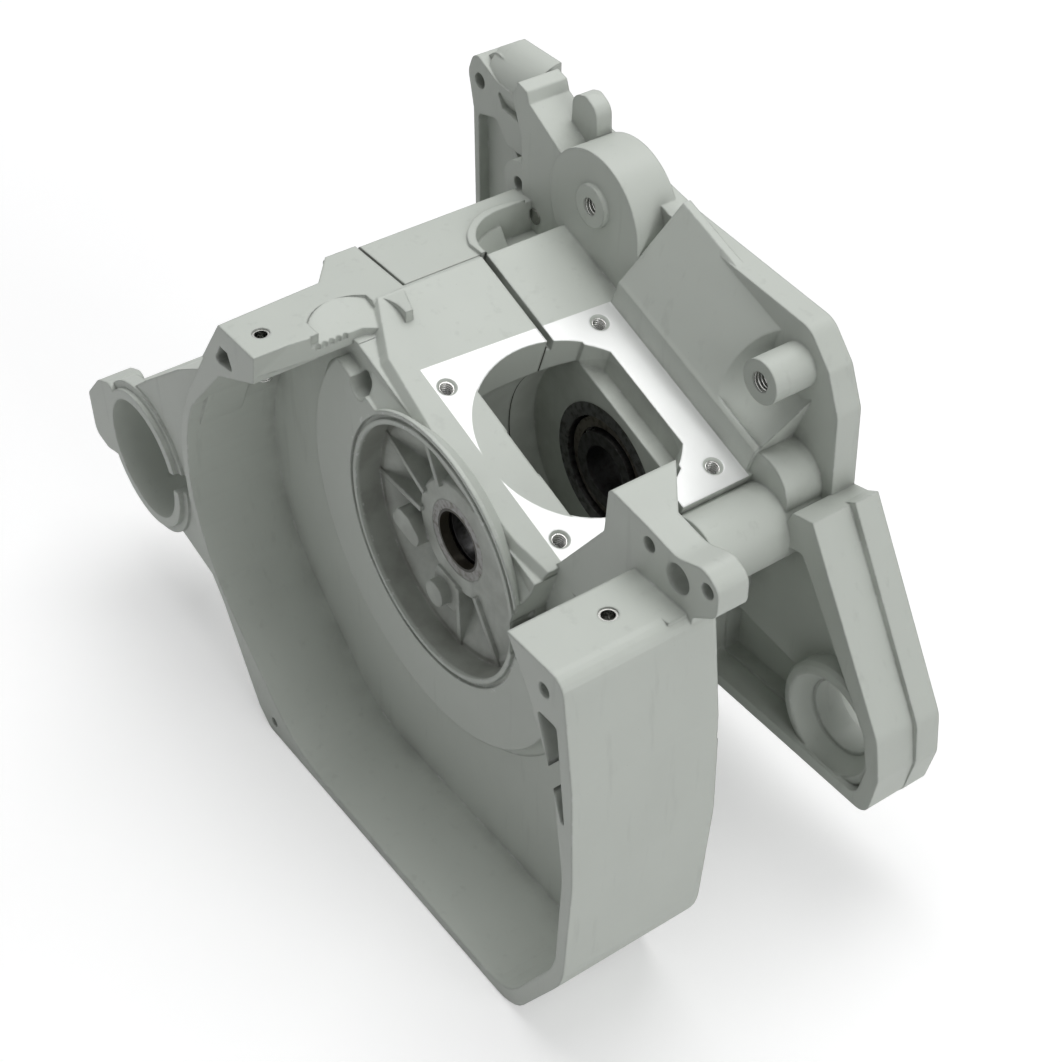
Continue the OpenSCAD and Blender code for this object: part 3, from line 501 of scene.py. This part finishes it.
class CRANKCASE_OT_bearings(bpy.types.Operator):
    """Finishes the bearings, the oil seals, the screws, the dowels, the inserts and the pin"""

    bl_idname = "crankcase.bearings"
    bl_label = "Finish the bearings and seals"

    def execute(self, context):
        look = context.scene.crankcase_finish
        steel, rubber = tuple(look.steel), tuple(look.rubber)
        outer = turned_steel("bearing_ring_steel", steel, oil=(0.055, 0.05, 0.042), roughness=0.26)
        inner = turned_steel("inner_ring_steel", tuple(0.45 * part for part in steel),
                             oil=(0.03, 0.027, 0.022), roughness=0.3)
        balls = turned_steel("ball_steel", (0.5, 0.5, 0.5),
                             oil=(0.12, 0.11, 0.09), roughness=0.14, lines=0.0)
        cage = turned_steel("cage_steel", (0.22, 0.2, 0.17), oil=(0.06, 0.05, 0.04), roughness=0.42)
        plated = turned_steel("plated_steel", (0.42, 0.42, 0.42),
                              oil=(0.16, 0.15, 0.12), roughness=0.36)
        for side in ("fan", "clutch"):
            paint_nodes(outer, f"{side}_bearing_outer_ring")
            paint_nodes(inner, f"{side}_bearing_inner_ring")
            paint_nodes(balls, f"{side}_bearing_balls")
            paint_nodes(cage, f"{side}_bearing_cage")
            paint_nodes(plated, f"{side}_seal_case", f"{side}_seal_spring")
            paint_nodes(seal_rubber(f"{side}_seal_rubber", rubber), f"{side}_seal_lip")
        paint_nodes(plated, "crankcase_screws", "locating_dowels")
        bright = bright_steel("insert_steel", steel=(0.44, 0.44, 0.42))
        paint_nodes(bright, "thread_inserts", "guard_pin")
        return {"FINISHED"}


class CRANKCASE_OT_threads(bpy.types.Operator):
    """Cuts the threads of the four cylinder holes, the two inserts and the two bosses"""

    bl_idname = "crankcase.threads"
    bl_label = "Cut the threads"

    def execute(self, context):
        bare = bright_steel("thread_steel", steel=(0.66, 0.66, 0.64))
        along, up = np.array(DECK_ALONG), np.array(DECK_UP)
        for number, (slope, across) in enumerate(DECK_HOLES, 1):
            mouth = slope * along + DECK_LEVEL * up + np.array((0.0, across, 0.0))
            coil = thread_coil(f"cylinder_thread_{number}", mouth, inward=-up,
                               radius=2.5, depth=12.0, pitch=1.0)
            finished(coil, bare)
        for name, mouth in INSERT_MOUTHS.items():
            coil = thread_coil(f"{name}_insert_thread", mouth, inward=(0, 0, -1),
                               radius=2.2, depth=11.0, pitch=0.8)
            finished(coil, bare)
        for name, mouth in BOSS_MOUTHS.items():
            coil = thread_coil(f"{name}_boss_thread", mouth, inward=(0, 1, 0),
                               radius=BOSS_RADII[name], depth=12.0, pitch=1.25)
            finished(coil, bare)
        return {"FINISHED"}


class CRANKCASE_OT_land(bpy.types.Operator):
    """Rounds the foot of the raised land around the magneto pocket"""

    bl_idname = "crankcase.land"
    bl_label = "Round the land"

    def execute(self, context):
        rounding = round_fillet("land_fillet", radius=71.0, floor=-46.0, hollow=4.6,
                                start=143.0, end=338.0)
        finished(rounding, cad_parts["fan_half"].data.materials[0])
        return {"FINISHED"}


class CRANKCASE_OT_studio(bpy.types.Operator):
    """Makes the floor, the lights, the sky and the camera at the photo's angle"""

    bl_idname = "crankcase.studio"
    bl_label = "Make the studio"

    def execute(self, context):
        look = context.scene.crankcase_studio
        scene = context.scene
        scene.view_settings.view_transform = "Standard"
        self.camera(scene, look.lens)
        self.floor()
        self.sky(scene, look.sky)
        self.lamp(scene, "top_light", TOP_LIGHT_PLACE, TOP_LIGHT_SIZE, look.key)
        self.lamp(scene, "front_light", FRONT_LIGHT_PLACE, FRONT_LIGHT_SIZE, look.front)
        return {"FINISHED"}

    def camera(self, scene, lens):
        """The camera at the photo's angle, turned by its right, its up and its back direction."""
        data = bpy.data.cameras.new("photo_camera")
        data.lens = lens
        data.sensor_width = SENSOR_WIDTH
        data.clip_start = 0.02
        right = Vector(CAMERA_RIGHT).normalized()
        up = Vector(CAMERA_UP).normalized()
        back = right.cross(up).normalized()
        turn = Matrix((right, up, back)).transposed().to_4x4()
        camera = bpy.data.objects.new("photo_camera", data)
        camera.matrix_world = Matrix.Translation(CAMERA_PLACE) @ turn
        scene.collection.objects.link(camera)
        scene.camera = camera

    def lamp(self, scene, name, place, size, power):
        """A soft square light that looks at the origin."""
        data = bpy.data.lights.new(name, "AREA")
        data.shape = "SQUARE"
        data.size = size
        data.energy = power
        lamp = bpy.data.objects.new(name, data)
        lamp.location = place
        lamp.rotation_euler = (-Vector(place)).to_track_quat("-Z", "Y").to_euler()
        scene.collection.objects.link(lamp)

    def floor(self):
        """A wide round floor under the foot, rings of points from its middle outwards.

        The camera sees it glow, weakly near the part so that it keeps the shadow, and more far off.
        """
        radius, angle = np.meshgrid(np.linspace(FLOOR_MIDDLE, FLOOR_EDGE, FLOOR_RINGS),
                                    np.linspace(0, 2 * math.pi, FLOOR_POINTS, endpoint=False),
                                    indexing="ij")
        level = CAD_BOX[0].z - FLOOR_GAP
        points = np.stack([radius * np.cos(angle), radius * np.sin(angle),
                           np.full_like(radius, level)], axis=-1)
        floor = new_piece("studio_floor", points.reshape(-1, 3), ring_faces(*radius.shape).tolist())
        net = Net(bpy.data.materials.new("studio_floor"))
        place = net.place()
        tone = net.noise(place, scale=4, detail=2)
        colour = net.mix(tone, rgba((0.80, 0.80, 0.80)), rgba((0.82, 0.82, 0.82)))
        body = net.node("ShaderNodeBsdfDiffuse", None, {"Color": colour})
        x, y = net.along(place, (1, 0, 0)), net.along(place, (0, 1, 0))
        away = (x * x + y * y) ** 0.5
        fill = net.mix(net.step(away, GLOW_NEAR, GLOW_FAR),
                       rgba((0.34, 0.34, 0.34)), rgba((0.72, 0.72, 0.72)))
        glow = net.node("ShaderNodeEmission", None, {"Color": fill, "Strength": 1.0})
        seen = net.node("ShaderNodeAddShader", None, {0: body, 1: glow})
        eye = net.node("ShaderNodeLightPath", out="Is Camera Ray")
        both = net.node("ShaderNodeMixShader", None, {0: eye, 1: body, 2: seen})
        net.node("ShaderNodeOutputMaterial", None, {"Surface": both})
        floor.data.materials.append(net.owner)

    def sky(self, scene, strength):
        """Even light from all sides, seen as white by the camera, in mirrors and through glass."""
        net = Net(bpy.data.worlds.new("studio_sky"))
        camera, mirror, glass = (
            net.node("ShaderNodeLightPath", out=kind)
            for kind in ("Is Camera Ray", "Is Glossy Ray", "Is Transmission Ray"))
        seen = camera | mirror | glass
        even = net.node("ShaderNodeBackground", None,
                        {"Color": rgba((0.985, 0.99, 1.0)), "Strength": strength})
        white = net.node("ShaderNodeBackground", None, {"Color": rgba((1, 1, 1)), "Strength": 1.0})
        both = net.node("ShaderNodeMixShader", None, {0: seen, 1: even, 2: white})
        net.node("ShaderNodeOutputWorld", None, {"Surface": both})
        scene.world = net.owner


class CRANKCASE_PT_sidebar(bpy.types.Panel):
    """Lists the finishes and the steps."""

    bl_label = "Crankcase"
    bl_idname = "CRANKCASE_PT_sidebar"
    bl_space_type = "VIEW_3D"
    bl_region_type = "UI"
    bl_category = "Crankcase"

    def draw(self, context):
        layout = self.layout
        for group in (context.scene.crankcase_finish, context.scene.crankcase_studio):
            for name in group.bl_rna.properties.keys():
                if name not in ("rna_type", "name"):
                    layout.prop(group, name)
        for step in STEPS:
            layout.operator(step.bl_idname)


STEPS = (CRANKCASE_OT_castings, CRANKCASE_OT_bearings, CRANKCASE_OT_threads, CRANKCASE_OT_land,
         CRANKCASE_OT_studio)
CLASSES = (CrankcaseFinish, CrankcaseStudio) + STEPS + (CRANKCASE_PT_sidebar,)


def register():
    for made in CLASSES:
        bpy.utils.register_class(made)
    bpy.types.Scene.crankcase_finish = bpy.props.PointerProperty(type=CrankcaseFinish)
    bpy.types.Scene.crankcase_studio = bpy.props.PointerProperty(type=CrankcaseStudio)


def unregister():
    del bpy.types.Scene.crankcase_studio
    del bpy.types.Scene.crankcase_finish
    for made in reversed(CLASSES):
        bpy.utils.unregister_class(made)


def main():
    """Runs every step."""
    register()
    for step in STEPS:
        group, name = step.bl_idname.split(".")
        getattr(getattr(bpy.ops, group), name)()


if __name__ == "__main__":
    main()
